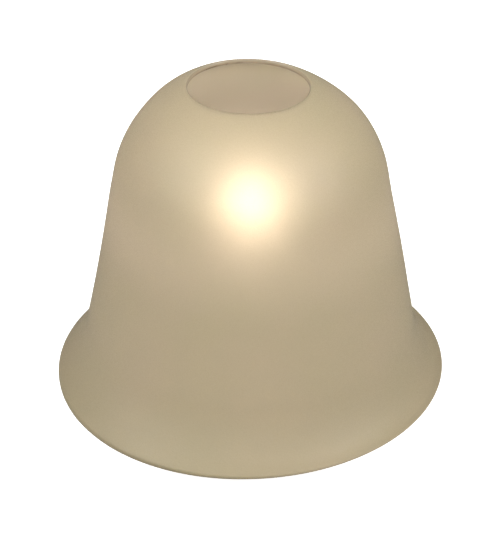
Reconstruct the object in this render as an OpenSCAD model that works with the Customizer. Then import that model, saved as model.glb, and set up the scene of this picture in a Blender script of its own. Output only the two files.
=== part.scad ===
// Bell lamp: a frosted glass bell shade stands over a low round base that carries a capsule bulb.
// Millimetres, +Z up, origin at the middle of the foot, on the table.

/* [Glass bell] */
// Diameter of the flared rim
rim_d = 143.8; // [140:0.1:148]
// Height of the rim's lowest point above the table
rim_gap = 4.5; // [4:0.1:6]
// Angle through which the foot turns out to the rim
rim_turn = 48.7; // [46:0.1:52]
// Radius of the flared foot, on the outer face
flare_r = 34.5; // [33:0.1:36]
// Lean of the straight side from the vertical
side_lean = 11.1; // [9:0.1:13]
// Length of the straight side
side_len = 62; // [55:0.5:70]
// Radius of the dome, on the outer face
dome_r = 44.4; // [42:0.1:46]
// Diameter of the hole in the crown, for a 1 5/8 in neckless fitter
hole_d = 42; // [38:0.5:46]
// Thickness of the glass below the dome
glass_t = 3; // [2.5:0.1:3.5]
// Thickness of the glass at the edge of the hole, where the blown dome is thinnest
crown_t = 1.5; // [1.3:0.1:2.5]
// Chamfer ground on both edges of the hole
grind = 0.3; // [0.2:0.1:0.4]

/* [Base] */
// Diameter of the base
base_d = 126; // [122:0.5:128]
// Height of the base's top above the table
base_h = 19.5; // [18:0.5:21]
// Thickness of the moulded shell
shell_t = 2.8; // [2.6:0.1:3]
// Thickness of the felt pad
felt_t = 1.5; // [1:0.1:2]
// Thickness of the bottom plate
plate_t = 1.5; // [1:0.1:2]
// Section diameter of the seat ring that carries the glass
ring_d = 3; // [2.6:0.1:3.2]
// Angle at which the ring meets the flare
seat_angle = 31; // [29:0.5:33]
// Gap that stands for the ring's squeeze under the glass
seat_gap = 0.25; // [0.2:0.05:0.4]
// Gap between the glass and the base's shoulder
shoulder_gap = 1.35; // [1.2:0.05:1.5]

/* [Lamp] */
// Height of the filament's middle above the table
light_h = 76.5; // [74:0.1:79]
// Diameter of the capsule
capsule_d = 14; // [12:0.5:15]
// Distance between the bulb's two pins
pin_pitch = 9; // [9:1:9]
// Height of the ceramic holder
holder_h = 17; // [16:0.5:18]
// Diameter of the insulated wires
wire_d = 2; // [1.8:0.1:2.2]

/* [Hidden] */
$fn = 96;
SCREWS = [1, 2, 3];
POLES = [1, 2];
TERMINALS = [1, 2, 3, 4];

ivory = [0.93, 0.90, 0.83];
champagne = [0.80, 0.73, 0.60];
brass = [0.80, 0.64, 0.34];
steel = [0.72, 0.73, 0.74];
ceramic = [0.95, 0.94, 0.91];

// The glass outline: a flare arc, a straight side tangent to it, and a dome arc tangent to that.
rim_r = rim_d / 2;
hole_r = hole_d / 2;
bead_r = glass_t / 2;
flare_mid = flare_r + bead_r;
flare_in = flare_r + glass_t;
flare_c = [rim_r - bead_r + flare_mid * cos(rim_turn),
           rim_gap + bead_r + flare_mid * sin(rim_turn)];
side_n = [cos(side_lean), sin(side_lean)];
side_up = [-sin(side_lean), cos(side_lean)];
dome_c = flare_c - (flare_r + dome_r) * side_n + side_len * side_up;
hole_lip = hole_r + grind;
lip_turn = acos((hole_lip - dome_c[0]) / dome_r);
lip_top = dome_c[1] + sqrt(pow(dome_r, 2) - pow(hole_r - dome_c[0], 2));

// The dome's inner arc leaves the inner side on the same line as the outer arc leaves the outer one.
// Its middle lies further back, so it is larger, and it passes crown_t inside the hole's upper edge.
waist_in = dome_r - glass_t;
crown_in = dome_r - crown_t;
dome_back = (pow(crown_in, 2) - pow(waist_in, 2))
  / (2 * (waist_in - crown_in * cos(lip_turn - side_lean)));
inner_r = waist_in + dome_back;
inner_c = dome_c - dome_back * side_n;
lip_low = inner_c[1] + sqrt(pow(inner_r, 2) - pow(hole_r - inner_c[0], 2));

// The base: its shoulder runs parallel to the flare, and the ring's groove is cut into it.
base_r = base_d / 2;
shoulder_r = flare_in + shoulder_gap;
ring_c = polar(flare_c, flare_in + seat_gap + ring_d / 2, 180 + seat_angle);
shoulder_low = acos((flare_c[0] - base_r) / shoulder_r);
top_corner = 2;
shoulder_high = asin((flare_c[1] - base_h + top_corner) / shoulder_r);
ceiling_z = base_h - shell_t;
plate_z = felt_t + plate_t;
boss_r = 4;
boss_at = 34;
boss_angle = 120;
pilot_r = 1.5;
play = 0.05;
ballast_low_r = 42;
ballast_high_r = 57;
ballast_top = 14;
ballast_open = 50;

// The cord's way in: a flat twin cord passes below the rim, at the back.
inlet_z = 2.9;
inlet_half = 1.2;
inlet_r = 2.6;
cord_half = 1;
cord_r = 1.8;
flange_t = 1.2;
inlet_from = base_r - shell_t - flange_t - 0.3;

// The terminal block hangs from the shell's ceiling, behind the nipple.
block = [18, 16, 9.5];
block_y = 25;
terminal_z = ceiling_z - block[2] / 2;
terminal_step = 9;
tube_r = 2;
tube_bore = 1.3;

// The threaded nipple stands through the shell and carries the holder's bracket.
nipple_r = 5;
nipple_bore = 4;
nipple_pitch = 1;
nut_t = 3;
nut_across = 14;
washer_t = 0.6;
collar_t = 4;
bracket_t = 1.2;
bracket_w = 12;
bracket_z = base_h + collar_t;
nipple_low = ceiling_z - washer_t - nut_t - 0.4;
nipple_high = bracket_z + bracket_t + nut_t + 0.4;

// The bulb sits by its flat pinch in the holder's slot.
pinch = [12.6, 3.6, 12];
pinch_z = light_h - 28.5;
slot_deep = 4;
slot_play = 0.3;
holder_top = pinch_z + slot_deep;
holder_z = holder_top - holder_h;
holder_r = 9.8;
holder_flat = 9;
arm_high = holder_z + 6;
arm_screw_z = holder_z + 3.2;
pocket = [3.8, 2.8];
pocket_z = holder_z + 3;
pin_wire = 0.4;
pin_bend = 0.9;
pin_len = 6;
leaf_t = 0.4;
leaf_half = 0.6;
leaf_w = 3;
crimp_r = 0.9;
capsule_r = capsule_d / 2;
capsule_wall = 0.8;
neck_z = pinch_z + pinch[2];
neck_r = 5.2;
capsule_top = neck_z + 32;
coil_low = light_h - 7;
coil_high = light_h + 6;
coil_r = 0.5;
lead_r = 0.35;
lead_x = 3;

function polar(c, r, a) = c + r * [cos(a), sin(a)];
function arc(c, r, from, to, steps) =
  [for (i = [0:steps]) polar(c, r, from + (to - from) * i / steps)];
function inner(list) = [for (i = [1:len(list) - 2]) list[i]];
function unit(v) = v / norm(v);
function side(i) = i == 1 ? 1 : -1;

// A round wire along a list of points, with flat ends; across is never parallel to the wire.
module wire(path, r, across, sides = 12) {
  last = len(path) - 1;
  way = [for (i = [0:last]) unit(path[min(i + 1, last)] - path[max(i - 1, 0)])];
  ring = [for (i = [0:last])
    let (u = unit(cross(way[i], across)), v = cross(way[i], u))
    for (k = [0:sides - 1]) path[i] + r * (cos(360 * k / sides) * u + sin(360 * k / sides) * v)];
  walls = [for (i = [0:last - 1], k = [0:sides - 1])
    let (a = i * sides, n = (k + 1) % sides)
    each [[a + k, a + sides + k, a + sides + n], [a + k, a + sides + n, a + n]]];
  start = [for (k = [0:sides - 1]) k];
  end = [for (k = [sides - 1:-1:0]) last * sides + k];
  polyhedron(ring, concat([start], walls, [end]));
}

// A smooth path through its points: each stretch is a cubic that leaves along its neighbours' chord.
function bend(p, steps) =
  let (last = len(p) - 1)
  concat([for (i = [0:last - 1], s = [0:steps - 1])
    let (t = s / steps, a = p[i], b = p[i + 1],
         ta = (b - p[max(i - 1, 0)]) / 2, tb = (p[min(i + 2, last)] - a) / 2)
    a * (2 * pow(t, 3) - 3 * pow(t, 2) + 1) + b * (3 * pow(t, 2) - 2 * pow(t, 3))
    + ta * (pow(t, 3) - 2 * pow(t, 2) + t) + tb * (pow(t, 3) - pow(t, 2))],
    [p[last]]);

// A pan-head screw with a straight slot, its head's seat at z = 0 and its shank going up.
module pan_screw(shank_r, head_r, head_t, len) {
  difference() {
    union() {
      cylinder(r = shank_r, h = len);
      rotate_extrude()
        polygon([[0, 0], [head_r, 0], [head_r, -head_t / 2], [head_r * 0.8, -head_t], [0, -head_t]]);
    }
    translate([-head_r - 1, -shank_r / 4, -head_t - 1]) cube([2 * head_r + 2, shank_r / 2, head_t / 2 + 1]);
  }
}

// A flat-sided oval of two round ends, standing across Y.
module oval(half, r, from, to) {
  for (s = [-1, 1]) translate([s * half, to, 0]) rotate([90, 0, 0]) cylinder(r = r, h = to - from);
  translate([-half, from, -r]) cube([2 * half, to - from, 2 * r]);
}

// Half a ring of round wire in the XZ plane: it arches up, or hangs down when turned by 180.
module half_ring(bend_r, wire_r, turned) {
  rotate([90, turned, 0]) rotate_extrude(angle = 180) translate([bend_r, 0]) circle(r = wire_r);
}

module at_bosses(i) { rotate([0, 0, i * boss_angle - 90]) translate([boss_at, 0, 0]) children(); }

module bell_shade() {
  inner_turn = acos((hole_lip - inner_c[0]) / inner_r);
  bead_c = polar(flare_c, flare_mid, 180 + rim_turn);
  color(champagne) rotate_extrude($fn = 180) polygon(concat(
    arc(dome_c, dome_r, lip_turn, side_lean, 22),
    arc(flare_c, flare_r, 180 + side_lean, 180 + rim_turn, 14),
    inner(arc(bead_c, bead_r, rim_turn, rim_turn - 180, 10)),
    arc(flare_c, flare_in, 180 + rim_turn, 180 + side_lean, 14),
    arc(inner_c, inner_r, side_lean, inner_turn, 22),
    [[hole_r, lip_low + grind], [hole_r, lip_top - grind]]));
}

module base_shell() {
  inside_r = base_r - shell_t;
  inside_low = acos((flare_c[0] - inside_r) / (shoulder_r + shell_t));
  inside_high = asin((flare_c[1] - ceiling_z) / (shoulder_r + shell_t));
  corner = polar(flare_c, shoulder_r, 180 + shoulder_high);
  color(ivory) difference() {
    union() {
      rotate_extrude() difference() {
        polygon(concat(
          [[base_r, felt_t]],
          arc(flare_c, shoulder_r, 180 + shoulder_low, 180 + shoulder_high, 12),
          inner(arc(corner - [top_corner, 0], top_corner, 0, 90, 6)),
          [[corner[0] - top_corner, base_h], [nipple_r + play, base_h], [nipple_r + play, ceiling_z]],
          arc(flare_c, shoulder_r + shell_t, 180 + inside_high, 180 + inside_low, 10),
          [[inside_r, felt_t]]));
        translate(ring_c) circle(r = ring_d / 2 + play);
      }
      for (i = SCREWS) at_bosses(i) translate([0, 0, plate_z]) cylinder(r = boss_r, h = ceiling_z - plate_z + 1);
      for (i = SCREWS) rotate([0, 0, i * boss_angle + 30])
        translate([ballast_low_r + 1, -1, ballast_top]) cube([12, 2, ceiling_z - ballast_top + 1]);
    }
    for (i = SCREWS) at_bosses(i) translate([0, 0, felt_t]) cylinder(r = pilot_r + play, h = 11);
    translate([0, 0, inlet_z]) oval(inlet_half, inlet_r + play, inside_r - 5, base_r + 5);
    translate([0, block_y, 0]) cylinder(r = 1.2 + play, h = ceiling_z + 2);
  }
}

module seat_ring() {
  color([0.86, 0.84, 0.79]) rotate_extrude() translate(ring_c) circle(r = ring_d / 2);
}

module ballast_ring() {
  color([0.25, 0.25, 0.26]) rotate([0, 0, 90 + ballast_open / 2])
    rotate_extrude(angle = 360 - ballast_open)
      polygon([[ballast_low_r, plate_z], [ballast_high_r, plate_z], [ballast_high_r, ballast_top - 3],
               [ballast_high_r - 2, ballast_top], [ballast_low_r, ballast_top]]);
}

module bottom_plate() {
  color(steel) difference() {
    translate([0, 0, felt_t]) cylinder(r = base_r - shell_t - 0.1, h = plate_t);
    for (i = SCREWS) at_bosses(i) cylinder(r = pilot_r + 0.2, h = plate_z + 1);
    translate([0, 0, inlet_z]) oval(inlet_half + 1, inlet_r + 0.3, inlet_from - 1, base_r + 5);
  }
}

module felt_pad() {
  color([0.22, 0.24, 0.22]) difference() {
    cylinder(r = base_r - 1.5, h = felt_t);
    translate([0, 0, -1]) cylinder(r = ballast_low_r - 1, h = felt_t + 2);
    translate([0, 0, inlet_z]) oval(inlet_half + 1, inlet_r + 0.3, inlet_from - 1, base_r + 5);
  }
}

module cover_screw(i) {
  color(steel) at_bosses(i) translate([0, 0, felt_t]) pan_screw(pilot_r, 2.8, 1.3, 9);
}

module cord_inlet() {
  color([0.88, 0.86, 0.80]) translate([0, 0, inlet_z]) difference() {
    union() {
      oval(inlet_half, inlet_r, inlet_from, base_r + flange_t);
      oval(inlet_half + 1, inlet_r + 0.15, base_r, base_r + flange_t);
      oval(inlet_half + 1, inlet_r + 0.15, inlet_from, inlet_from + flange_t);
    }
    oval(cord_half, cord_r, inlet_from - 1, base_r + flange_t + 1);
  }
}

module terminal_block() {
  color([0.90, 0.90, 0.88]) translate([0, block_y, 0]) difference() {
    translate([-block[0] / 2, -block[1] / 2, ceiling_z - block[2]]) cube(block);
    for (i = POLES) translate([side(i) * terminal_step / 2, block[1] / 2 + 1, terminal_z])
      rotate([90, 0, 0]) cylinder(r = tube_r + play, h = block[1] + 2);
    for (i = TERMINALS) at_terminal(i) translate([0, 0, -1]) cylinder(r = 1.9, h = terminal_z);
    cylinder(r = 1.2 + play, h = ceiling_z + 1);
    cylinder(r = 2.6, h = ceiling_z - block[2] + 2);
  }
}

// Places a child over one terminal, in the block's own frame.
module at_terminal(i) {
  translate([side(i % 2) * terminal_step / 2, (i < 3 ? 1 : -1) * 4.5, 0]) children();
}

module terminal_tube(i) {
  color(brass) translate([side(i) * terminal_step / 2, block_y, 0]) difference() {
    translate([0, 7, terminal_z]) rotate([90, 0, 0]) cylinder(r = tube_r, h = 14);
    translate([0, 8, terminal_z]) rotate([90, 0, 0]) cylinder(r = tube_bore, h = 16);
    for (y = [-4.5, 4.5]) translate([0, y, 0]) cylinder(r = 1 + play, h = terminal_z);
  }
}

module terminal_screw(i) {
  tip = terminal_z - 0.9;
  head = ceiling_z - block[2] + 1;
  color(steel) translate([0, block_y, 0]) at_terminal(i) difference() {
    union() {
      translate([0, 0, head]) cylinder(r = 1, h = tip - head);
      translate([0, 0, head]) cylinder(r = 1.6, h = 1.4);
    }
    translate([-2, -0.25, head - 1]) cube([4, 0.5, 1.6]);
  }
}

module block_screw() {
  color(steel) translate([0, block_y, ceiling_z - block[2] + 2]) pan_screw(1.2, 2.4, 1.3, block[2] - 1);
}

module nipple() {
  threads = floor((nipple_high - nipple_low) / nipple_pitch);
  crest = [for (i = [0:threads - 1], s = [0, 0.5])
    [nipple_r - (s == 0 ? 0.5 : 0), nipple_low + (i + s) * nipple_pitch]];
  color(brass) rotate_extrude() polygon(concat(
    [[nipple_bore, nipple_low]], crest,
    [[nipple_r - 0.5, nipple_high], [nipple_bore, nipple_high]]));
}

module hex_nut(z) {
  color(brass) translate([0, 0, z]) difference() {
    cylinder(r = nut_across / 2 / cos(30), h = nut_t, $fn = 6);
    translate([0, 0, -1]) cylinder(r = nipple_r + play, h = nut_t + 2);
  }
}

module nipple_washer() {
  color(steel) translate([0, 0, ceiling_z - washer_t]) difference() {
    cylinder(r = 9, h = washer_t);
    translate([0, 0, -1]) cylinder(r = nipple_r + play, h = washer_t + 2);
  }
}

module nipple_nut() { hex_nut(ceiling_z - washer_t - nut_t); }

module bracket_nut() { hex_nut(bracket_z + bracket_t); }

module collar() {
  hollow_r = 3;
  foot_r = 11;
  neck = foot_r - hollow_r;
  color(brass) rotate_extrude() polygon(concat(
    [[nipple_r + play, base_h], [foot_r, base_h]],
    arc([foot_r, base_h + 1 + hollow_r], hollow_r, 270, 180, 8),
    [[neck, bracket_z], [nipple_r + play, bracket_z]]));
}

module holder_bracket() {
  out = holder_flat + bracket_t;
  round_r = 2;
  color(steel) difference() {
    rotate([90, 0, 90]) translate([0, 0, -bracket_w / 2]) linear_extrude(bracket_w) difference() {
      polygon(concat(
        arc([out - round_r, bracket_z + round_r], round_r, 0, -90, 6),
        arc([round_r - out, bracket_z + round_r], round_r, 270, 180, 6),
        [[-out, arm_high], [out, arm_high]]));
      translate([-holder_flat, bracket_z + bracket_t]) square([2 * holder_flat, arm_high]);
    }
    translate([0, 0, bracket_z - 1]) cylinder(r = nipple_r + play, h = bracket_t + 2);
    translate([0, out + 1, arm_screw_z]) rotate([90, 0, 0]) cylinder(r = pilot_r + 0.1, h = 2 * out + 2);
  }
}

module holder_body() {
  bevel = 0.8;
  slot = pinch + [2 * slot_play, 2 * slot_play, 0];
  color(ceramic) difference() {
    rotate_extrude() polygon([[0, holder_z], [holder_r - bevel, holder_z], [holder_r, holder_z + bevel],
      [holder_r, holder_top - bevel], [holder_r - bevel, holder_top], [0, holder_top]]);
    for (s = [0, 180]) rotate([0, 0, s])
      translate([-holder_r, holder_flat, holder_z - 1]) cube([2 * holder_r, 5, holder_h + 2]);
    translate([-slot[0] / 2, -slot[1] / 2, pinch_z - 0.1]) cube([slot[0], slot[1], slot_deep + 1]);
    for (i = POLES) translate([side(i) * pin_pitch / 2, 0, 0]) {
      translate([-pocket[0] / 2, -pocket[1] / 2, pocket_z]) cube([pocket[0], pocket[1], pinch_z - pocket_z]);
      translate([0, 0, holder_z - 1]) cylinder(r = wire_d / 2 + 0.15, h = pocket_z - holder_z + 2);
      translate([0, 0, holder_z - 1]) cylinder(r = wire_d, h = 1.9);
    }
    translate([0, holder_r, arm_screw_z]) rotate([90, 0, 0]) cylinder(r = pilot_r + play, h = 5.6);
    translate([0, 5.6 - holder_r, arm_screw_z]) rotate([90, 0, 0]) cylinder(r = pilot_r + play, h = 5.6);
  }
}

module holder_screw(i) {
  color(steel) translate([0, side(i) * (holder_flat + bracket_t), arm_screw_z])
    rotate([side(i) * 90, 0, 0]) pan_screw(pilot_r, 2.7, 1.6, 5.5);
}

module contact(i) {
  out = leaf_half + leaf_t;
  low = pocket_z;
  high = pinch_z - 2.4;
  color(brass) translate([side(i) * pin_pitch / 2, 0, 0]) {
    rotate([90, 0, 90]) translate([0, 0, -leaf_w / 2]) linear_extrude(leaf_w) polygon([
      [-out, low], [out, low], [out, high - 1], [out + 0.3, high], [leaf_half + 0.3, high],
      [leaf_half, high - 1], [leaf_half, low + leaf_t], [-leaf_half, low + leaf_t],
      [-leaf_half, high - 1], [-leaf_half - 0.3, high], [-out - 0.3, high], [-out, high - 1]]);
    translate([0, 0, pocket_z - 1.8]) cylinder(r = crimp_r, h = 1.8);
  }
}

// Each wire leaves its terminal, turns up inside the nipple and spreads to its contact.
module lamp_wire(i) {
  s = side(i);
  from = [s * terminal_step / 2, block_y - 7, terminal_z];
  to = [s * pin_pitch / 2, 0, pocket_z - 1.8];
  route = [from, from - [0, 1.5, 0], from - [0, 3, 0], [s * 3.9, 10, terminal_z - 0.3],
           [s * 1.9, 4.2, terminal_z - 0.5], [s * 1.6, 0.9, nipple_low], [s * 1.6, 0, nipple_low + 3],
           [s * 1.6, 0, nipple_high - 4], [s * 1.9, 0, nipple_high - 1], [s * 3.9, 0, holder_z - 0.8],
           to - [0, 0, 1], to - [0, 0, 0.5], to];
  color(i == 1 ? [0.45, 0.28, 0.16] : [0.25, 0.42, 0.68]) wire(bend(route, 3), wire_d / 2, [1, 0, 0]);
}

module bulb_envelope() {
  belly_z = neck_z + 4;
  tip_r = capsule_r - 0.5;
  dome_z = capsule_top - capsule_r;
  inside = capsule_r - capsule_wall;
  color([0.97, 0.96, 0.93, 0.6]) rotate_extrude() polygon(concat(
    [[neck_r - capsule_wall, neck_z], [neck_r, neck_z]],
    arc([neck_r - 2, belly_z], capsule_r - neck_r + 2, -50, 0, 6),
    arc([0, dome_z], capsule_r, 0, 90, 16),
    arc([0, dome_z], inside, 90, 0, 16),
    arc([neck_r - 2, belly_z], inside - neck_r + 2, 0, -50, 6)));
}

module bulb_pinch() {
  rib = 0.6;
  color([0.93, 0.94, 0.93, 0.7]) difference() {
    union() {
      translate([-pinch[0] / 2, rib - pinch[1] / 2, pinch_z]) cube([pinch[0], pinch[1] - 2 * rib, pinch[2] - 1]);
      for (s = [-1, 1]) translate([s * (pinch[0] / 2 - 0.6) - 0.6, -pinch[1] / 2, pinch_z])
        cube([1.2, pinch[1], pinch[2] - 1]);
      translate([0, 0, neck_z - 1.5]) cylinder(r = neck_r, h = 1.5);
    }
    for (i = POLES) {
      at_foil(i) translate([-1.3, -0.2, 0]) cube([2.6, 0.4, 7]);
      for (s = [-1, 1]) translate([side(i) * pin_pitch / 2 + s * pin_bend, 0, pinch_z - 1])
        cylinder(r = pin_wire + 0.02, h = 2.5);
    }
  }
}

// Places a child at the lower end of one of the two sealing foils.
module at_foil(i) { translate([side(i) * 2.6, 0, pinch_z + 2.5]) children(); }

module bulb_foil(i) {
  color([0.70, 0.70, 0.72]) at_foil(i) translate([-1.25, -0.15, 0]) cube([2.5, 0.3, 7]);
}

// One contact pin is a hairpin of thick wire, sealed in the pinch by both its ends.
module bulb_pin(i) {
  bend_z = pinch_z - pin_len + pin_bend;
  color(steel) translate([side(i) * pin_pitch / 2, 0, 0]) {
    for (s = [-1, 1]) translate([s * pin_bend, 0, bend_z])
      cylinder(r = pin_wire, h = pinch_z + 1.5 - bend_z);
    translate([0, 0, bend_z]) half_ring(pin_bend, pin_wire, 180);
  }
}

module bulb_lead(i) {
  color(steel) translate([side(i) * lead_x, 0, neck_z]) cylinder(r = lead_r, h = coil_low - neck_z);
}

// The coiled filament runs up and down four times; each bend is half a ring.
module bulb_filament() {
  bend_r = lead_x / 3;
  low_bend = coil_low + 3;
  color([0.98, 0.86, 0.55]) {
    for (s = [-1, 1]) {
      translate([s * lead_x, 0, coil_low]) cylinder(r = coil_r, h = coil_high - coil_low);
      translate([s * bend_r, 0, low_bend]) cylinder(r = coil_r, h = coil_high - low_bend);
      translate([s * 2 * bend_r, 0, coil_high]) half_ring(bend_r, coil_r, 0);
    }
    translate([0, 0, low_bend]) half_ring(bend_r, coil_r, 180);
  }
}

// A fine hook stands from the bulb's crown and holds one of the filament's upper bends.
module bulb_hook(i) {
  top = capsule_top - capsule_wall - 0.6;
  hook_z = coil_high + lead_x / 3 + coil_r;
  color(steel) translate([side(i) * lead_x * 2 / 3, 0, hook_z]) cylinder(r = 0.2, h = top - hook_z);
}

bell_shade();
base_shell();
seat_ring();
ballast_ring();
bottom_plate();
felt_pad();
for (i = SCREWS) cover_screw(i);
cord_inlet();
terminal_block();
for (i = POLES) terminal_tube(i);
for (i = TERMINALS) terminal_screw(i);
block_screw();
nipple();
nipple_washer();
nipple_nut();
collar();
bracket_nut();
holder_bracket();
holder_body();
for (i = POLES) holder_screw(i);
for (i = POLES) contact(i);
for (i = POLES) lamp_wire(i);
bulb_envelope();
bulb_pinch();
for (i = POLES) bulb_foil(i);
for (i = POLES) bulb_pin(i);
for (i = POLES) bulb_lead(i);
bulb_filament();
for (i = POLES) bulb_hook(i);
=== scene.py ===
import math

import bmesh
import bpy
import numpy as np
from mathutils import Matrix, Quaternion, Vector


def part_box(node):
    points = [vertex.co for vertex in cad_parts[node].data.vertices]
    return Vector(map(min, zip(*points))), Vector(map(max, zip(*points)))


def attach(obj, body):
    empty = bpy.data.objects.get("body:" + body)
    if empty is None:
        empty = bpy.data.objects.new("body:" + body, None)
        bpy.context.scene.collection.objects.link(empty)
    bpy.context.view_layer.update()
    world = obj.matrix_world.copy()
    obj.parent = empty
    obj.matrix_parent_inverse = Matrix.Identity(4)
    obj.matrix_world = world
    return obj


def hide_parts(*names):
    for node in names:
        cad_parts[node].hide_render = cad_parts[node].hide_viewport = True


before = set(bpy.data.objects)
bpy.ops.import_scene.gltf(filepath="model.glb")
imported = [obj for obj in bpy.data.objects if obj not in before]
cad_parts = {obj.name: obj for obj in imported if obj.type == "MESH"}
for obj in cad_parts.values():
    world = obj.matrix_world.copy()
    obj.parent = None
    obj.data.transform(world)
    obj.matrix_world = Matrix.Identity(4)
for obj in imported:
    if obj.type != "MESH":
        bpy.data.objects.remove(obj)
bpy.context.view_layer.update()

# Room: a wide white sheet under soft light, as for a catalogue picture. One soft box stands over
# the camera and one on each side. The sheet and the air look white, but send little light back,
# so the glass is lit from above and in front and its flared sides fall off.
scene = bpy.context.scene
scene.view_settings.view_transform = "Standard"


def add_light(name, place, aim, size, watts):
    """A white square soft box of the given size at one place, facing another."""
    lamp = bpy.data.lights.new(name, "AREA")
    lamp.size = size
    lamp.energy = watts
    box = bpy.data.objects.new(name, lamp)
    box.location = place
    box.rotation_mode = "QUATERNION"
    box.rotation_quaternion = (Vector(aim) - Vector(place)).to_track_quat("-Z", "Y")
    scene.collection.objects.link(box)


def link(tree, source, output, target, entry):
    """Joins a node's output socket to another node's input socket."""
    tree.links.new(source.outputs[output], target.inputs[entry])


def add_node(tree, kind, inputs=None, **settings):
    """A node of the given kind with its own settings and the values of its unlinked inputs."""
    node = tree.nodes.new(kind)
    for key, value in settings.items():
        setattr(node, key, value)
    for key, value in (inputs or {}).items():
        node.inputs[key].default_value = value
    return node


def new_material(name, **values):
    """A material with nodes, its node tree, and its Principled shader with the given values."""
    material = bpy.data.materials.new(name)
    material.use_nodes = True
    shader = material.node_tree.nodes["Principled BSDF"]
    for key, value in values.items():
        shader.inputs[key.replace("_", " ")].default_value = value
    return material, material.node_tree, shader


def mesh_object(name, points, faces):
    """A smooth mesh from an array of points and a list of faces with three or four corners each."""
    mesh = bpy.data.meshes.new(name)
    mesh.from_pydata(points.tolist(), [], faces)
    mesh.update()
    mesh.polygons.foreach_set("use_smooth", np.ones(len(mesh.polygons), dtype=bool))
    obj = bpy.data.objects.new(name, mesh)
    scene.collection.objects.link(obj)
    return obj


table_middle = (0, 0, 0.05)
add_light("soft_box_front", (0, -1.0, 0.75), table_middle, 0.6, 7.6)
add_light("soft_box_left", (-1.0, -0.5, 0.8), table_middle, 0.9, 21.0)
add_light("soft_box_right", (1.0, -0.5, 0.8), table_middle, 0.9, 22.5)

white = (1.0, 1.0, 1.0, 1.0)
world = bpy.data.worlds.new("studio")
world.use_nodes = True
scene.world = world
air = world.node_tree
glow = air.nodes["Background"]
glow.inputs["Color"].default_value = white
glow.inputs["Strength"].default_value = 0.48
seen = add_node(air, "ShaderNodeBackground", {"Color": white, "Strength": 1.0})
ray = add_node(air, "ShaderNodeLightPath")
choice = add_node(air, "ShaderNodeMixShader")
link(air, ray, "Is Camera Ray", choice, 0)
link(air, glow, "Background", choice, 1)
link(air, seen, "Background", choice, 2)
link(air, choice, "Shader", air.nodes["World Output"], "Surface")

floor_half = 4.0
floor = mesh_object("white_sheet",
                    np.array([[-floor_half, -floor_half, 0], [floor_half, -floor_half, 0],
                              [floor_half, floor_half, 0], [-floor_half, floor_half, 0]]),
                    [[0, 1, 2, 3]])
sheet, tree, dull = new_material("white_sheet", Base_Color=(0.2, 0.2, 0.2, 1.0), Roughness=0.9,
                                 Specular_IOR_Level=0.1)
bright = add_node(tree, "ShaderNodeBsdfPrincipled",
                  {"Base Color": (0.8, 0.8, 0.8, 1.0), "Roughness": 0.9, "Specular IOR Level": 0.1,
                   "Emission Color": white, "Emission Strength": 0.6})
ray = add_node(tree, "ShaderNodeLightPath")
choice = add_node(tree, "ShaderNodeMixShader")
link(tree, ray, "Is Camera Ray", choice, 0)
link(tree, dull, "BSDF", choice, 1)
link(tree, bright, "BSDF", choice, 2)
link(tree, choice, "Shader", tree.nodes["Material Output"], "Surface")
floor.data.materials.append(sheet)

# Camera: a long lens in front of the bell and a little above it, so that the crown's hole shows.
# It stands a trace off level, as a hand-held camera does.
camera_data = bpy.data.cameras.new("camera")
camera_data.lens = 105.7
camera_data.sensor_width = 36.0
camera = bpy.data.objects.new("camera", camera_data)
scene.collection.objects.link(camera)
scene.camera = camera
camera_place = Vector((0.0, -0.4986, 0.3622))
camera_aim = Vector((0.0, 0.0, 0.0432))
camera_roll = 0.011
camera.location = camera_place
camera.rotation_mode = "QUATERNION"
camera.rotation_quaternion = ((camera_aim - camera_place).to_track_quat("-Z", "Y")
                              @ Quaternion((0, 0, 1), camera_roll))

# Felt pad: a ring of dark pressed wool felt, 1.5 mm thick, stuck under the bottom plate.
# Its cut edge is soft and hairy, and it is notched at the back where the cord goes in.
mm = 0.001


def ring_faces(turns, loop):
    """Quads that join neighbours along a closed outline of loop points and round closed turns."""
    row = np.arange(turns)[:, None] * loop
    next_row = np.roll(row, -1, axis=0)
    col = np.arange(loop)[None, :]
    next_col = np.roll(col, -1, axis=1)
    faces = np.stack([row + col, row + next_col, next_row + next_col, next_row + col], axis=-1)
    return faces.reshape(-1, 4)


def arc(centre, radius, start, end, count):
    """Points on a circle at even angles from start to end, both included."""
    turn = np.linspace(start, end, count)
    return np.asarray(centre) + radius * np.stack([np.cos(turn), np.sin(turn)], axis=1)


def rounded_box(low, high, radius, count):
    """The outline of a rectangle between two corners, with round corners, from low right round."""
    quarter = math.pi / 2
    left, right = low[0] + radius, high[0] - radius
    bottom, top = low[1] + radius, high[1] - radius
    corners = [((right, bottom), -quarter), ((right, top), 0),
               ((left, top), quarter), ((left, bottom), 2 * quarter)]
    return np.concatenate([arc(c, radius, a, a + quarter, count) for c, a in corners])


felt_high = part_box("felt_pad")[1]
felt_in = 41 * mm
notch_half = 4.7 * mm
notch_y = 57.7 * mm
edge_r = 0.45 * mm
hair_out = 0.05 * mm
notch_step = 0.002
notch_turn = math.asin(notch_half / felt_high.x)
back = math.pi / 2
round_from = back + notch_turn + notch_step
round_to = back + 2 * math.pi - notch_turn - notch_step
turn = np.concatenate([np.linspace(back - notch_turn, back + notch_turn, 9),
                       np.linspace(round_from, round_to, 600)])
in_notch = np.abs(np.remainder(turn - back + math.pi, 2 * math.pi) - math.pi) <= notch_turn + 1e-6
outer = np.where(in_notch, notch_y / np.abs(np.sin(turn)), felt_high.x)

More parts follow.
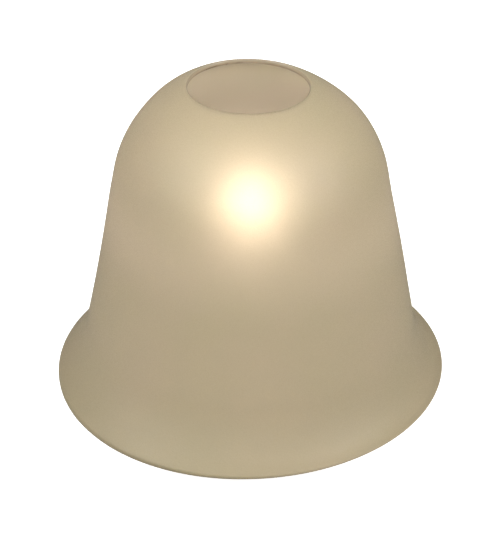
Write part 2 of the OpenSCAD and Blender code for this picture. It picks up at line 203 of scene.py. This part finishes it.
rounding = rounded_box((0, 0), (felt_high.x - felt_in, felt_high.z), edge_r, 5)
across = rounding[:, 0] / (felt_high.x - felt_in)
hair = np.random.default_rng(7).normal(0, hair_out, (len(turn), len(rounding)))
radius = felt_in + across[None, :] * (outer - felt_in)[:, None] + hair
points = np.stack([radius * np.cos(turn)[:, None], radius * np.sin(turn)[:, None],
                   np.broadcast_to(rounding[:, 1], radius.shape)], axis=-1).reshape(-1, 3)
pad = mesh_object("felt_ring", points, ring_faces(len(turn), len(rounding)).tolist())


def surface_grain():
    """Builds the grain group once. A soft noise on stretched object coordinates mixes a dark and a
    light colour, and a finer noise gives the height and moves the roughness between two values."""
    group = bpy.data.node_groups.new("surface_grain", "ShaderNodeTree")
    for name, kind, value in (("Dark", "NodeSocketColor", white),
                              ("Light", "NodeSocketColor", white),
                              ("Scale", "NodeSocketFloat", 100.0),
                              ("Stretch", "NodeSocketVector", (1, 1, 1)),
                              ("Fine", "NodeSocketFloat", 8.0),
                              ("Smooth", "NodeSocketFloat", 0.3),
                              ("Rough", "NodeSocketFloat", 0.6)):
        socket = group.interface.new_socket(name, in_out="INPUT", socket_type=kind)
        socket.default_value = value
    for name, kind in (("Color", "NodeSocketColor"), ("Roughness", "NodeSocketFloat"),
                       ("Height", "NodeSocketFloat")):
        group.interface.new_socket(name, in_out="OUTPUT", socket_type=kind)
    given = add_node(group, "NodeGroupInput")
    result = add_node(group, "NodeGroupOutput")
    place = add_node(group, "ShaderNodeTexCoord")
    stretched = add_node(group, "ShaderNodeVectorMath", operation="MULTIPLY")
    link(group, place, "Object", stretched, 0)
    link(group, given, "Stretch", stretched, 1)
    soft = add_node(group, "ShaderNodeTexNoise", {"Detail": 4.0, "Roughness": 0.55})
    link(group, stretched, "Vector", soft, "Vector")
    link(group, given, "Scale", soft, "Scale")
    spread = add_node(group, "ShaderNodeMapRange", {"From Min": 0.35, "From Max": 0.65})
    link(group, soft, "Fac", spread, "Value")
    mixed = add_node(group, "ShaderNodeMix", data_type="RGBA")
    link(group, spread, "Result", mixed, 0)
    link(group, given, "Dark", mixed, 6)
    link(group, given, "Light", mixed, 7)
    finer = add_node(group, "ShaderNodeMath", operation="MULTIPLY")
    link(group, given, "Scale", finer, 0)
    link(group, given, "Fine", finer, 1)
    grit = add_node(group, "ShaderNodeTexNoise", {"Detail": 3.0})
    link(group, stretched, "Vector", grit, "Vector")
    link(group, finer, "Value", grit, "Scale")
    gloss = add_node(group, "ShaderNodeMapRange", {"From Min": 0.3, "From Max": 0.7})
    link(group, grit, "Fac", gloss, "Value")
    link(group, given, "Smooth", gloss, "To Min")
    link(group, given, "Rough", gloss, "To Max")
    link(group, mixed, 2, result, "Color")
    link(group, gloss, "Result", result, "Roughness")
    link(group, grit, "Fac", result, "Height")
    return group


grain_group = surface_grain()


def grained(name, dark, light, scale, stretch=(1, 1, 1), fine=8.0, gloss=(0.3, 0.6),
            bump=(0.3, 0.05), **values):
    """A material with the grain group on colour, roughness and bump. Gloss is the least and most
    roughness, and bump is its strength and its depth in mm."""
    material, tree, shader = new_material(name, **values)
    grain = add_node(tree, "ShaderNodeGroup", node_tree=grain_group)
    for key, value in (("Dark", dark + (1.0,)), ("Light", light + (1.0,)), ("Scale", scale),
                       ("Stretch", stretch), ("Fine", fine), ("Smooth", gloss[0]),
                       ("Rough", gloss[1])):
        grain.inputs[key].default_value = value
    relief = add_node(tree, "ShaderNodeBump", {"Strength": bump[0], "Distance": bump[1] * mm})
    link(tree, grain, "Color", shader, "Base Color")
    link(tree, grain, "Roughness", shader, "Roughness")
    link(tree, grain, "Height", relief, "Height")
    link(tree, relief, "Normal", shader, "Normal")
    return material


wool = grained("pressed_wool", (0.018, 0.024, 0.019), (0.060, 0.072, 0.060), 900,
               (1, 1, 0.4), 3.0, (0.85, 1.0), (0.8, 0.3),
               Sheen_Weight=0.35, Sheen_Roughness=0.5, Specular_IOR_Level=0.15)
pad.data.materials.append(wool)
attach(pad, "base")
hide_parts("felt_pad")

# Bottom plate: zinc plated sheet steel, cut round, screwed up into the shell's three bosses.
# Plating dries in pale and dark patches, and the sheet keeps faint rolling lines along one way.


def clothe(material, *names):
    """Gives the CAD nodes of these names one material."""
    for name in names:
        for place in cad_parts[name].material_slots:
            place.material = material


def refine(node, body, material, crease=32.0):
    """A finer copy of a CAD node that stands for it: its triangles are joined, and its curved faces
    are shaded round while edges sharper than crease, in degrees, stay."""
    skin = bmesh.new()
    skin.from_mesh(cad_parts[node].data)
    bmesh.ops.remove_doubles(skin, verts=skin.verts, dist=1e-6)
    mesh = bpy.data.meshes.new(node + "_skin")
    skin.to_mesh(mesh)
    skin.free()
    mesh.polygons.foreach_set("use_smooth", np.ones(len(mesh.polygons), dtype=bool))
    mesh.set_sharp_from_angle(angle=math.radians(crease))
    mesh.materials.clear()
    mesh.materials.append(material)
    obj = bpy.data.objects.new(node + "_skin", mesh)
    scene.collection.objects.link(obj)
    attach(obj, body)
    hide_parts(node)


plated_sheet = grained("plated_sheet", (0.40, 0.41, 0.42), (0.66, 0.67, 0.68), 160,
                       (1, 0.08, 1), 5.0, (0.28, 0.48), (0.15, 0.02), Metallic=1.0)
clothe(plated_sheet, "bottom_plate")

# Ballast: a C-shaped iron casting that keeps the light plastic base from tipping. It was cast in
# sand and dipped in black paint, so its skin is coarse and dull.
cast_iron = grained("painted_casting", (0.012, 0.012, 0.013), (0.045, 0.044, 0.043), 350,
                    (1, 1, 1), 3.0, (0.55, 0.85), (0.9, 0.25))
clothe(cast_iron, "ballast_ring")

# Base shell: one ivory moulding with a shoulder that follows the glass, bosses and ribs inside.
# Its skin is spark-eroded matt, and it has yellowed a little from the lamp's heat.
ivory = grained("ivory_moulding", (0.37, 0.325, 0.245), (0.42, 0.37, 0.285), 60, (1, 1, 1), 60.0,
                (0.42, 0.58), (0.35, 0.03), Specular_IOR_Level=0.45)
refine("base_shell", "base", ivory)

# Seat ring: a round silicone cord closed into a ring and pressed into the shoulder's groove.
# The glass rests on it; silicone draws dust, which greys it in specks.
ring_low, ring_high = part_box("seat_ring")
cord_r = (ring_high.z - ring_low.z) / 2
ring_middle = (ring_high.x - cord_r, (ring_low.z + ring_high.z) / 2)
ring_points = arc(ring_middle, cord_r, 0, 2 * math.pi, 25)[:-1]


def lathe(outline, turns):
    """Carries a closed outline of radius and height round the Z axis: a point at radius r and
    turn a lies at (r cos a, r sin a). Each face joins neighbours along the outline and the turn."""
    turn = np.linspace(0, 2 * np.pi, turns, endpoint=False)
    radius, height = outline[:, 0], outline[:, 1]
    points = np.stack([np.outer(np.cos(turn), radius), np.outer(np.sin(turn), radius),
                       np.broadcast_to(height, (turns, len(outline)))], axis=-1).reshape(-1, 3)
    return points, ring_faces(turns, len(outline))


silicone = grained("seat_silicone", (0.40, 0.38, 0.33), (0.54, 0.52, 0.47), 700, (1, 1, 1), 3.0,
                   (0.35, 0.55), (0.15, 0.03))
points, faces = lathe(ring_points[::-1], 240)
seat = mesh_object("silicone_seat", points, faces.tolist())
seat.data.materials.append(silicone)
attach(seat, "base")
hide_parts("seat_ring")

# Screws: three pan-heads hold the bottom plate, one holds the terminal block, four clamp the wires,
# and two hold the ceramic in its bracket. They are zinc plated.
zinc = grained("zinc_plating", (0.42, 0.43, 0.45), (0.68, 0.69, 0.71), 500, (1, 1, 1), 6.0,
               (0.25, 0.45), (0.2, 0.01), Metallic=1.0)
for number in (1, 2, 3):
    refine(f"cover_screw_{number}", "base", zinc)
for number in (1, 2):
    refine(f"holder_screw_{number}", "base", zinc)
clothe(zinc, "block_screw", *[f"terminal_screw_{number}" for number in (1, 2, 3, 4)])

# Cord inlet: a rubber bush with a flange on both sides of the shell's wall, open for a flat cord.
rubber = grained("bush_rubber", (0.44, 0.41, 0.34), (0.53, 0.50, 0.42), 400, (1, 1, 1), 5.0,
                 (0.6, 0.8), (0.4, 0.04), Specular_IOR_Level=0.3)
refine("cord_inlet", "base", rubber)

# Terminal block: milky polyamide around two brass tubes, screwed up under the shell's ceiling.
polyamide = grained("milky_polyamide", (0.62, 0.62, 0.58), (0.74, 0.74, 0.70), 120, (1, 1, 1), 9.0,
                    (0.35, 0.5), (0.2, 0.03))
clothe(polyamide, "terminal_block")

# Brass fittings: the threaded nipple with its two nuts, and the turned collar that hides its foot.
# The turning tool left fine rings round the axis, and handling has browned the lacquer in patches.
brass = grained("turned_brass", (0.42, 0.27, 0.09), (0.66, 0.46, 0.19), 150, (0.5, 0.5, 6.0), 12.0,
                (0.18, 0.38), (0.25, 0.01), Metallic=1.0)
for name in ("collar", "bracket_nut", "nipple"):
    refine(name, "base", brass)
clothe(brass, "nipple_nut", "terminal_tube_1", "terminal_tube_2")
clothe(plated_sheet, "nipple_washer")

# Holder bracket: a U of plated strip under the upper nut, its arms bent up beside the ceramic.
refine("holder_bracket", "base", plated_sheet)

# Holder: an unglazed steatite drum with a slot for the bulb's pinch and a pocket for each contact.
# Steatite is off-white, with grey specks, and a rubbed sheen where it was handled.
steatite, tree, shader = new_material("steatite", Specular_IOR_Level=0.35)
grain = add_node(tree, "ShaderNodeGroup", node_tree=grain_group)
for key, value in (("Dark", (0.70, 0.68, 0.62, 1.0)), ("Light", (0.80, 0.78, 0.73, 1.0)),
                   ("Scale", 140.0), ("Fine", 9.0), ("Smooth", 0.45), ("Rough", 0.75)):
    grain.inputs[key].default_value = value
place = add_node(tree, "ShaderNodeTexCoord")
fleck = add_node(tree, "ShaderNodeTexVoronoi", {"Scale": 900.0})
link(tree, place, "Object", fleck, "Vector")
dot = add_node(tree, "ShaderNodeMapRange", {"From Min": 0.10, "From Max": 0.16,
                                            "To Min": 0.75, "To Max": 1.0})
link(tree, fleck, "Distance", dot, "Value")
tinted = add_node(tree, "ShaderNodeMix", {0: 1.0}, data_type="RGBA", blend_type="MULTIPLY")
link(tree, grain, "Color", tinted, 6)
link(tree, dot, "Result", tinted, 7)
link(tree, tinted, 2, shader, "Base Color")
link(tree, grain, "Roughness", shader, "Roughness")
relief = add_node(tree, "ShaderNodeBump", {"Strength": 0.35, "Distance": 0.05 * mm})
link(tree, grain, "Height", relief, "Height")
link(tree, relief, "Normal", shader, "Normal")
refine("holder_body", "base", steatite)

# Contacts and wires: rolled bronze leaves in the pockets, each crimped to a silicone-sleeved wire
# that runs down through the nipple to its terminal. One sleeve is brown and one is blue.
strip = grained("rolled_strip", (0.50, 0.38, 0.20), (0.70, 0.58, 0.38), 220, (1, 1, 0.1), 6.0,
                (0.25, 0.4), (0.15, 0.01), Metallic=1.0)
clothe(strip, "contact_1", "contact_2")
for number, slot, dark, light in ((1, "brown_sleeve", (0.045, 0.018, 0.008), (0.075, 0.032, 0.014)),
                                  (2, "blue_sleeve", (0.012, 0.05, 0.16), (0.02, 0.075, 0.22))):
    sleeve = grained(slot, dark, light, 300, (1, 1, 1), 6.0, (0.35, 0.5), (0.2, 0.02))
    refine(f"wire_{number}", "base", sleeve, crease=60.0)

# Bulb metalwork: hairpin pins, the sealing foils and leads, and the two hooks under the crown are
# molybdenum, grey and finely drawn along their length.
molybdenum = grained("drawn_molybdenum", (0.30, 0.30, 0.32), (0.48, 0.48, 0.50), 400,
                     (1, 1, 0.1), 6.0, (0.25, 0.45), (0.15, 0.01), Metallic=1.0)
clothe(molybdenum, "bulb_foil_1", "bulb_foil_2", "bulb_lead_1", "bulb_lead_2",
       "bulb_hook_1", "bulb_hook_2")
for number in (1, 2):
    refine(f"bulb_pin_{number}", "bulb", molybdenum)

# Filament: fine tungsten wire wound into a close coil, which runs in four upright legs between the
# leads and is white hot.
coil_low, coil_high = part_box("bulb_filament")
coil_r = (coil_high.y - coil_low.y) / 2
bend_r = (coil_high.x - coil_r) / 3
top_z = coil_high.z - coil_r - bend_r
low_z = coil_low.z + 3 * mm
wire_r = 0.09 * mm
pitch = 0.42 * mm
steps_per_turn = 10


def leg(x, start, end):
    """Two ends of an upright stretch of the coil's path, in the XZ plane."""
    return np.array([[x, start], [x, end]])


half_path = np.concatenate([
    leg(-3 * bend_r, coil_low.z, top_z), arc((-2 * bend_r, top_z), bend_r, math.pi, 0, 13)[1:],
    leg(-bend_r, top_z, low_z)[1:], arc((0, low_z), bend_r, math.pi, 1.5 * math.pi, 7)[1:]])
path = np.concatenate([half_path, half_path[-2::-1] * [-1, 1]])
length = np.concatenate([[0], np.cumsum(np.linalg.norm(np.diff(path, axis=0), axis=1))])
count = int(length[-1] / pitch * steps_per_turn)
along = np.linspace(0, length[-1], count)
middle = np.stack([np.interp(along, length, path[:, k]) for k in (0, 1)], axis=1)
way = np.gradient(middle, axis=0)
way /= np.linalg.norm(way, axis=1, keepdims=True)
out = np.stack([-way[:, 1], np.zeros(count), way[:, 0]], axis=1)
wind = 2 * math.pi * along / pitch
wound_r = coil_r - wire_r
centre = (np.stack([middle[:, 0], np.zeros(count), middle[:, 1]], axis=1)
          + wound_r * (np.cos(wind)[:, None] * out + np.sin(wind)[:, None] * np.array([0, 1, 0])))


def tube(path, radius, sides):
    """A round wire along a path: at each point a ring of the given sides stands square to the path,
    turned from a fixed side direction, and both ends are closed by a fan."""
    way = np.gradient(path, axis=0)
    way /= np.linalg.norm(way, axis=1, keepdims=True)
    side = np.cross(way, np.array([0.31, 0.17, 0.93]))
    side /= np.linalg.norm(side, axis=1, keepdims=True)
    lift = np.cross(way, side)
    turn = np.linspace(0, 2 * math.pi, sides, endpoint=False)
    ring = (path[:, None, :] + radius * (np.cos(turn)[None, :, None] * side[:, None, :]
                                         + np.sin(turn)[None, :, None] * lift[:, None, :]))
    points = np.concatenate([ring.reshape(-1, 3), path[:1], path[-1:]])
    faces = ring_faces(len(path), sides)[:-sides]
    k = np.arange(sides)
    last = (len(path) - 1) * sides
    start = np.stack([np.full(sides, len(points) - 2), np.roll(k, -1), k], axis=1)
    end = np.stack([np.full(sides, len(points) - 1), last + k, last + np.roll(k, -1)], axis=1)
    return points, faces.tolist() + start.tolist() + end.tolist()


points, faces = tube(centre, wire_r, 5)
filament = mesh_object("tungsten_coil", points, faces)
hot = grained("hot_tungsten", (0.30, 0.25, 0.20), (0.45, 0.38, 0.30), 900,
              (1, 1, 1), 3.0, (0.3, 0.5), (0.2, 0.01),
              Metallic=1.0, Emission_Color=(1.0, 0.86, 0.62, 1.0), Emission_Strength=30.0)
filament.data.materials.append(hot)
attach(filament, "bulb")
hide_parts("bulb_filament")

# Bulb capsule: a quartz tube pressed flat round the foils at its foot, blown round above and drawn
# off in a small pip. It is etched, so the whole capsule glows, most of all beside the filament.
pinch_low, pinch_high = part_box("bulb_pinch")
bulb_low, bulb_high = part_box("bulb_envelope")
tube_r = (bulb_high.x - bulb_low.x) / 2
press_half = (pinch_high.x, pinch_high.y)
neck_z = bulb_low.z
dome_z = bulb_high.z - tube_r
pip_r = 0.9 * mm
press_dip = 0.28
stations = np.array([
    # height, half width, half depth, squareness
    [pinch_low.z, press_half[0] - 0.5 * mm, press_half[1] - 0.5 * mm, 8],
    [pinch_low.z + 0.4 * mm, press_half[0] - 0.1 * mm, press_half[1] - 0.1 * mm, 8],
    [pinch_low.z + 1.0 * mm, press_half[0], press_half[1], 8],
    [neck_z - 3.0 * mm, press_half[0], press_half[1], 8],
    [neck_z - 0.5 * mm, press_half[0] - 0.5 * mm, 3.2 * mm, 4],
    [neck_z + 1.5 * mm, 6.2 * mm, 5.3 * mm, 2.4],
    [neck_z + 4.0 * mm, 6.8 * mm, 6.6 * mm, 2],
    [neck_z + 6.0 * mm, tube_r, tube_r, 2],
    [dome_z, tube_r, tube_r, 2]])
level = np.linspace(stations[0, 0], dome_z, 90)
half_w, half_d, square = (np.interp(level, stations[:, 0], stations[:, k]) for k in (1, 2, 3))
blend = np.hanning(9) / np.hanning(9).sum()
half_w, half_d, square = (np.convolve(np.pad(v, 4, mode="edge"), blend, mode="valid")
                          for v in (half_w, half_d, square))
crown = np.linspace(0, math.pi / 2, 26)[1:]
pip = pip_r * np.exp(-((tube_r * np.cos(crown)) / pip_r) ** 2)
level = np.concatenate([level, dome_z + tube_r * np.sin(crown) + pip])
crown_r = np.maximum(tube_r * np.cos(crown), 0.02 * mm)
half_w, half_d = np.concatenate([half_w, crown_r]), np.concatenate([half_d, crown_r])
square = np.concatenate([square, np.full(len(crown), 2.0)])
turn = np.linspace(0, 2 * math.pi, 96, endpoint=False)
power = (2 / square)[:, None]
cos, sin = np.cos(turn)[None, :], np.sin(turn)[None, :]
x = half_w[:, None] * np.sign(cos) * np.abs(cos) ** power
y = half_d[:, None] * np.sign(sin) * np.abs(sin) ** power
pressed = np.clip((neck_z - 2 * mm - level) / (2 * mm), 0, 1)[:, None]
y *= 1 - press_dip * pressed * (1 - np.abs(x / half_w[:, None]) ** 6)
points = np.stack([x, y, np.broadcast_to(level[:, None], x.shape)], axis=-1).reshape(-1, 3)
rows, cols = len(level), len(turn)
row = np.arange(rows - 1)[:, None] * cols
col, next_col = np.arange(cols)[None, :], np.roll(np.arange(cols), -1)[None, :]
walls = np.stack([row + col, row + next_col, row + cols + next_col, row + cols + col], axis=-1)
foot = len(points)
points = np.concatenate([points, [[0, 0, level[0]], [0, 0, level[-1]]]])
k = np.arange(cols)
foot_fan = np.stack([np.full(cols, foot), np.roll(k, -1), k], axis=1)
top_row = (rows - 1) * cols
top_fan = np.stack([np.full(cols, foot + 1), top_row + k, top_row + np.roll(k, -1)], axis=1)
capsule = mesh_object("quartz_capsule", points,
                      walls.reshape(-1, 4).tolist() + foot_fan.tolist() + top_fan.tolist())

quartz, tree, shader = new_material("lit_quartz", Roughness=0.5, Emission_Strength=30.0)
grain = add_node(tree, "ShaderNodeGroup", node_tree=grain_group)
for key, value in (("Dark", (0.78, 0.76, 0.70, 1.0)), ("Light", (0.90, 0.89, 0.84, 1.0)),
                   ("Scale", 300.0)):
    grain.inputs[key].default_value = value
link(tree, grain, "Color", shader, "Base Color")
place = add_node(tree, "ShaderNodeTexCoord")
split = add_node(tree, "ShaderNodeSeparateXYZ")
link(tree, place, "Object", split, "Vector")
height = add_node(tree, "ShaderNodeMapRange", {"From Min": pinch_low.z, "From Max": bulb_high.z})
link(tree, split, "Z", height, "Value")
lamp_tint = (1.0, 0.875, 0.84)
span = bulb_high.z - pinch_low.z
hot_mid = (low_z + 3 * mm - pinch_low.z) / span
hot_half = 5.5 * mm / span
glow = add_node(tree, "ShaderNodeValToRGB")
stops = glow.color_ramp.elements


def lamp_light(part):
    """The lamp's tint at a part of its full brightness."""
    return tuple(part * c for c in lamp_tint) + (1.0,)


stops[0].position, stops[0].color = hot_mid - 3.2 * hot_half, lamp_light(0.02)
stops[1].position, stops[1].color = hot_mid + 2 * hot_half, lamp_light(0.12)
for at, part in ((-2.0, 0.12), (-0.7, 1.0), (0.7, 1.0)):
    stops.new(hot_mid + at * hot_half).color = lamp_light(part)
link(tree, height, "Result", glow, "Fac")
link(tree, glow, "Color", shader, "Emission Color")
capsule.data.materials.append(quartz)
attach(capsule, "bulb")
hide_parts("bulb_envelope", "bulb_pinch")

# Shade: one blown bell of pale amber glass, acid-etched on both faces and thinnest at the crown,
# where a hole was cut and ground for a fitter. Its foot was flared out hot, so the rim is a few
# millimetres higher on one side and the wall stands a trace out of true at the waist.
shade_low, shade_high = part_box("bell_shade")
wall = 3.0 * mm
crown_wall = 1.5 * mm
flare_r = 34.5 * mm
dome_r = 44.4 * mm
hole_r = 21.0 * mm
side_len = 62.0 * mm
side_lean = math.radians(11.1)
rim_turn = math.radians(48.7)
grind = 0.3 * mm
bead = wall / 2
flare_c = np.array([shade_high.x - bead + (flare_r + bead) * math.cos(rim_turn),
                    shade_low.z + bead + (flare_r + bead) * math.sin(rim_turn)])
side_out = np.array([math.cos(side_lean), math.sin(side_lean)])
side_up = np.array([-math.sin(side_lean), math.cos(side_lean)])
dome_c = flare_c - (flare_r + dome_r) * side_out + side_len * side_up


def line(start, end, count):
    """Points at even steps between two ends, the ends left out."""
    step = np.linspace(0, 1, count + 2)[1:-1, None]
    return (1 - step) * start + step * end


# The blown dome thins towards the hole: its inner arc leaves the inner side as the outer arc leaves
# the outer one, but its middle lies further back, so that it passes crown_wall under the lip.
lip_out = math.acos((hole_r + grind - dome_c[0]) / dome_r)
waist_in = dome_r - wall
crown_in = dome_r - crown_wall
dome_back = ((crown_in ** 2 - waist_in ** 2)
             / (2 * (waist_in - crown_in * math.cos(lip_out - side_lean))))
inner_r = waist_in + dome_back
inner_c = dome_c - dome_back * side_out
lip_in = math.acos((hole_r + grind - inner_c[0]) / inner_r)
bead_c = flare_c - (flare_r + bead) * np.array([math.cos(rim_turn), math.sin(rim_turn)])
outside = np.concatenate([
    arc(dome_c, dome_r, lip_out, side_lean, 34),
    line(dome_c + dome_r * side_out, flare_c - flare_r * side_out, 20),
    arc(flare_c, flare_r, math.pi + side_lean, math.pi + rim_turn, 20)])
rim_bead = arc(bead_c, bead, rim_turn, rim_turn - math.pi, 12)[1:-1]
inside = np.concatenate([
    arc(flare_c, flare_r + wall, math.pi + rim_turn, math.pi + side_lean, 20),
    line(flare_c - (flare_r + wall) * side_out, dome_c + (dome_r - wall) * side_out, 20),
    arc(inner_c, inner_r, side_lean, lip_in, 34)])
lip_low_z, lip_top_z = inside[-1, 1], outside[0, 1]
hole_wall = np.array([[hole_r, lip_low_z + grind], [hole_r, lip_top_z - grind]])
outline = np.concatenate([outside, rim_bead, inside, hole_wall])
shade_turns = 256
points, faces = lathe(outline, shade_turns)

# The foot's skew lifts the rim on one side and lowers it on the other, by the square of the depth
# below the seat. The sway moves the wall sideways by half a sine between the seat and the dome. The
# swell widens one side below swell_z. The hole was cut off centre, so the crown shifts by a smooth
# step.
seat_z = 14 * mm
rim_lift = 0.45 * mm
rim_skew = np.array([2.9, -0.75]) * mm
sway = 0.6 * mm
swell = 0.75 * mm
swell_z = 40 * mm
depth = np.clip((seat_z - points[:, 2]) / (seat_z - shade_low.z), 0, 1)
rise = np.clip((points[:, 2] - seat_z) / (dome_c[1] - seat_z), 0, 1)
points[:, 0] += sway * np.sin(math.pi * rise)
crown_z = 104 * mm
hole_off = -1.2 * mm
high_up = np.clip((points[:, 2] - crown_z) / (shade_high.z - crown_z), 0, 1)
points[:, 0] += hole_off * high_up * high_up * (3 - 2 * high_up)
low_down = np.clip((swell_z - points[:, 2]) / (swell_z - seat_z), 0, 1)
points[:, 0] += swell * low_down * np.clip(points[:, 0] / shade_high.x, 0, 1)
points[:, 2] += depth ** 2 * (rim_lift + points[:, :2] @ rim_skew / shade_high.x)
shade = mesh_object("shade_glass", points, faces.tolist())
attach(shade, "shade")
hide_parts("bell_shade")

# Painted glow: a warm emission round the bell's middle, standing for the lamp's light inside the
# wall.
belt_z = 76 * mm
belt_half = 22 * mm
# Painted shade: the glass's colour is darkened towards the flared foot, between these two heights.
foot_shade_from, foot_shade_to = 34 * mm, 4 * mm
painted_foot_shade = (0.86, 0.85, 0.79, 1.0)
# Painted light: the inner face's colour is made lighter towards the crown, between these two
# heights.
crown_light_from, crown_light_to = 90 * mm, 112 * mm


def frosted_glass(name, tint, roughness, clear, belt=0.0, crown=(1.0, 1.0, 1.0)):
    """Glass whose etched skin scatters: part lets light through blurred, part returns it evenly.
    Clouds in the batch shift its tint a little. Its colour is darkened down in the flared foot as
    painted shade, and the crown's tone makes it lighter at the crown as painted light. The belt is
    the strength of a painted warm glow round the bell's middle, for light that spreads inside the
    wall."""
    material, tree, glass = new_material(name, Transmission_Weight=clear, IOR=1.5)
    place = add_node(tree, "ShaderNodeTexCoord")
    etch = add_node(tree, "ShaderNodeTexNoise", {"Scale": 4200.0, "Detail": 1.0})
    link(tree, place, "Object", etch, "Vector")
    pits = add_node(tree, "ShaderNodeMapRange", {"From Min": 0.42, "From Max": 0.58,
                                                 "To Min": roughness[0], "To Max": roughness[1]})
    link(tree, etch, "Fac", pits, "Value")
    link(tree, pits, "Result", glass, "Roughness")
    cloud = add_node(tree, "ShaderNodeTexNoise", {"Scale": 38.0, "Detail": 3.0})
    link(tree, place, "Object", cloud, "Vector")
    tone = add_node(tree, "ShaderNodeValToRGB")
    tone.color_ramp.elements[0].position = 0.3
    tone.color_ramp.elements[1].position = 0.7
    tone.color_ramp.elements[0].color = (tint[0] * 0.96, tint[1] * 0.985, tint[2] * 0.95, 1.0)
    tone.color_ramp.elements[1].color = tint + (1.0,)
    link(tree, cloud, "Fac", tone, "Fac")
    split = add_node(tree, "ShaderNodeSeparateXYZ")
    link(tree, place, "Object", split, "Vector")
    # Painted shade: the colour grows darker towards the foot.
    foot = add_node(tree, "ShaderNodeMapRange", {"From Min": foot_shade_from, "From Max": foot_shade_to},
                    interpolation_type="SMOOTHSTEP")
    link(tree, split, "Z", foot, "Value")
    shaded = add_node(tree, "ShaderNodeMix", {7: painted_foot_shade}, data_type="RGBA",
                      blend_type="MULTIPLY")
    link(tree, foot, "Result", shaded, 0)
    link(tree, tone, "Color", shaded, 6)
    # Painted light: the colour is multiplied lighter towards the crown by the crown's tone.
    top = add_node(tree, "ShaderNodeMapRange", {"From Min": crown_light_from, "From Max": crown_light_to},
                   interpolation_type="SMOOTHSTEP")
    link(tree, split, "Z", top, "Value")
    paler = add_node(tree, "ShaderNodeMix", {7: crown + (1.0,)}, data_type="RGBA",
                     blend_type="MULTIPLY")
    link(tree, top, "Result", paler, 0)
    link(tree, shaded, 2, paler, 6)
    link(tree, paler, 2, glass, "Base Color")
    # Painted glow: the glass itself emits a warm belt at the lamp's height.
    if belt:
        beside = add_node(tree, "ShaderNodeMapRange", {"From Min": shade_low.z,
                                                       "From Max": shade_high.z})
        link(tree, split, "Z", beside, "Value")
        warm = add_node(tree, "ShaderNodeValToRGB")
        warm.color_ramp.interpolation = "EASE"
        middle = (belt_z - shade_low.z) / (shade_high.z - shade_low.z)
        reach = belt_half / (shade_high.z - shade_low.z)
        ends = warm.color_ramp.elements
        ends[0].position, ends[0].color = middle - reach, (0.0, 0.0, 0.0, 1.0)
        ends[1].position, ends[1].color = middle + reach, (0.0, 0.0, 0.0, 1.0)
        ends.new(middle).color = (1.0, 0.75, 0.65, 1.0)
        link(tree, beside, "Result", warm, "Fac")
        link(tree, warm, "Color", glass, "Emission Color")
        glass.inputs["Emission Strength"].default_value = belt
    grain = add_node(tree, "ShaderNodeTexNoise", {"Scale": 1400.0, "Detail": 2.0})
    link(tree, place, "Object", grain, "Vector")
    bump = add_node(tree, "ShaderNodeBump", {"Strength": 0.15, "Distance": 0.2 * mm})
    link(tree, grain, "Fac", bump, "Height")
    link(tree, bump, "Normal", glass, "Normal")
    return material


dirt_way = (-0.57, 0.82, 0.0)
clean_edge = (0.29, 0.235, 0.16, 1.0)
dirty_edge = (0.07, 0.04, 0.015, 1.0)


def stained_edge(name):
    """The ground edge of the hole: matt tan glass, browned along its lower arris, where specks of
    old dirt sit in the pores, thickest on one stretch at the back."""
    material, tree, glass = new_material(name, Roughness=0.4, Transmission_Weight=0.4, IOR=1.5)
    place = add_node(tree, "ShaderNodeTexCoord")
    split = add_node(tree, "ShaderNodeSeparateXYZ")
    link(tree, place, "Object", split, "Vector")
    low = add_node(tree, "ShaderNodeMapRange", {"From Min": lip_low_z + 0.8 * mm,
                                                "From Max": lip_low_z + 0.3 * mm})
    link(tree, split, "Z", low, "Value")
    toward = add_node(tree, "ShaderNodeVectorMath", {1: dirt_way}, operation="DOT_PRODUCT")
    link(tree, place, "Object", toward, 0)
    stretch = add_node(tree, "ShaderNodeMapRange", {"From Min": 0.88 * hole_r,
                                                    "From Max": 0.99 * hole_r, "To Min": 0.25})
    link(tree, toward, "Value", stretch, "Value")
    speck = add_node(tree, "ShaderNodeTexNoise", {"Scale": 420.0, "Detail": 3.0})
    link(tree, place, "Object", speck, "Vector")
    pores = add_node(tree, "ShaderNodeMapRange", {"From Min": 0.42, "From Max": 0.60,
                                                  "To Min": 0.3})
    link(tree, speck, "Fac", pores, "Value")
    there = add_node(tree, "ShaderNodeMath", operation="MULTIPLY")
    link(tree, low, "Result", there, 0)
    link(tree, stretch, "Result", there, 1)
    dirt = add_node(tree, "ShaderNodeMath", operation="MULTIPLY")
    link(tree, there, "Value", dirt, 0)
    link(tree, pores, "Result", dirt, 1)
    tone = add_node(tree, "ShaderNodeMix", {6: clean_edge, 7: dirty_edge}, data_type="RGBA")
    link(tree, dirt, "Value", tone, 0)
    link(tree, tone, 2, glass, "Base Color")
    grain = add_node(tree, "ShaderNodeTexNoise", {"Scale": 2500.0, "Detail": 2.0})
    link(tree, place, "Object", grain, "Vector")
    bump = add_node(tree, "ShaderNodeBump", {"Strength": 0.3, "Distance": 0.1 * mm})
    link(tree, grain, "Fac", bump, "Height")
    link(tree, bump, "Normal", glass, "Normal")
    return material


amber = (0.46, 0.382, 0.256)
pale_amber = (0.535, 0.478, 0.365)
shade.data.materials.append(frosted_glass("glass_outer", amber, (0.5, 1.0), 0.6, belt=0.05))
# The crown's tone lightens the inner face near the crown as painted light.
shade.data.materials.append(frosted_glass("glass_inner", pale_amber, (0.5, 0.5), 0.6,
                                          crown=(1.42, 1.49, 1.55)))
shade.data.materials.append(stained_edge("glass_ground"))
along = np.tile(np.arange(len(outline)), shade_turns)
inner_from = len(outside) + len(rim_bead)
inner_to = inner_from + len(inside)
skin = np.where(along < inner_from, 0, 1)
skin[(along >= inner_to - 1) | (along == len(outline) - 1)] = 2
shade.data.polygons.foreach_set("material_index", skin)
